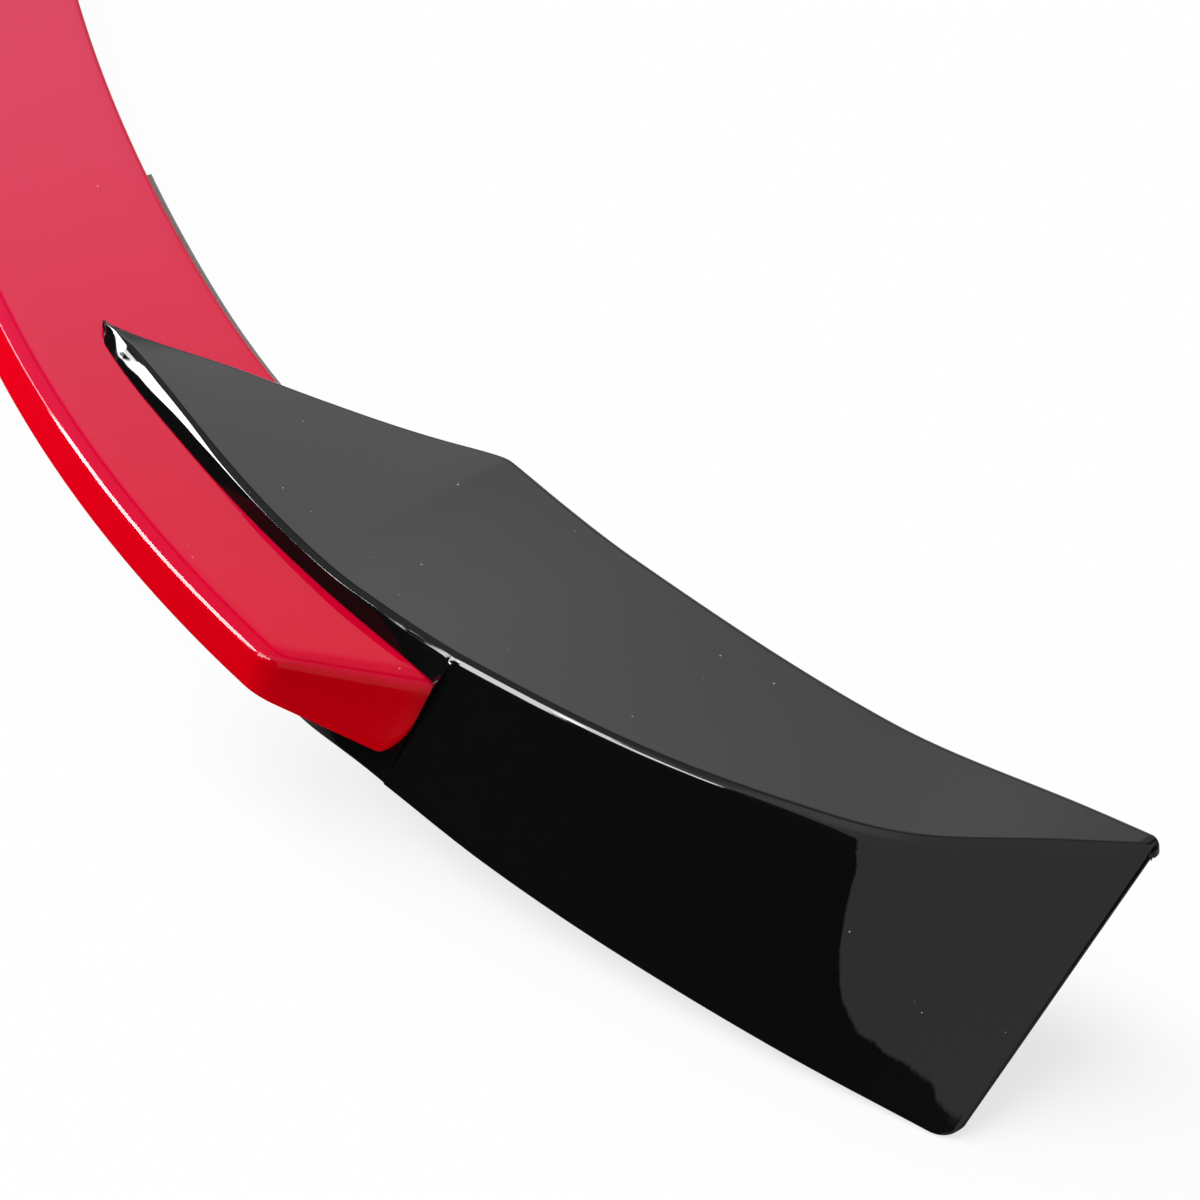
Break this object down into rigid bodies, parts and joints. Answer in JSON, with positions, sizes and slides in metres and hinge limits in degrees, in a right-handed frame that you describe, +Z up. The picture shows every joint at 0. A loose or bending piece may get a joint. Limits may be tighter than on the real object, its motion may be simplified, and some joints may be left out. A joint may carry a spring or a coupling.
{
  "type": "car boot-lid spoiler",
  "caption": "Ducktail boot-lid spoiler: red blade on a full-width black base, gloss black winglets lapped over both ends, with mounting inserts underneath.",
  "frame": {"origin": "centre of the box round the whole spoiler, at its lowest level: the level that it stands on when it is laid down off the car", "axes": "+X to the car's right, along the span; +Y towards the front of the car; +Z up"},
  "size_m": [1.3854, 0.3942, 0.0643],
  "materials": {
    "red_paint": "car paint under clear coat, on a moulded ABS skin",
    "black_gloss": "gloss black clear-coated ABS",
    "black_textured": "fine-grained unpainted ABS",
    "aluminium": "mill finish, folded",
    "black_moulding": "moulded nylon, satin",
    "brass": "turned, satin",
    "foam_rubber": "closed-cell EPDM foam",
    "zinc_steel": "zinc plated",
    "nylon": "moulded nylon, natural",
    "bonding_tape": "grey acrylic foam tape"
  },
  "bodies": {
    "root": {"blade_skin": "red_paint", "base_panel": "black_gloss", "winglet_skin_right": "black_gloss", "winglet_skin_left": "black_gloss", "winglet_liner_right": "black_textured", "winglet_liner_left": "black_textured", "stiffening_channel": "aluminium", "mount_block_inner_right": "black_moulding", "mount_block_inner_left": "black_moulding", "mount_block_outer_right": "black_moulding", "mount_block_outer_left": "black_moulding", "threaded_inserts_inner": "brass", "threaded_inserts_outer": "brass", "mount_gaskets_inner": "foam_rubber", "mount_gaskets_outer": "foam_rubber", "winglet_screws_right": "zinc_steel", "winglet_screws_left": "zinc_steel", "locating_pins_right": "nylon", "locating_pins_left": "nylon", "tape_lead_centre": "bonding_tape", "tape_lead_right": "bonding_tape", "tape_lead_left": "bonding_tape", "tape_plinth": "bonding_tape", "tape_winglet_front_right": "bonding_tape", "tape_winglet_front_left": "bonding_tape", "tape_winglet_rear_right": "bonding_tape", "tape_winglet_rear_left": "bonding_tape"}
  },
  "joints": []
}
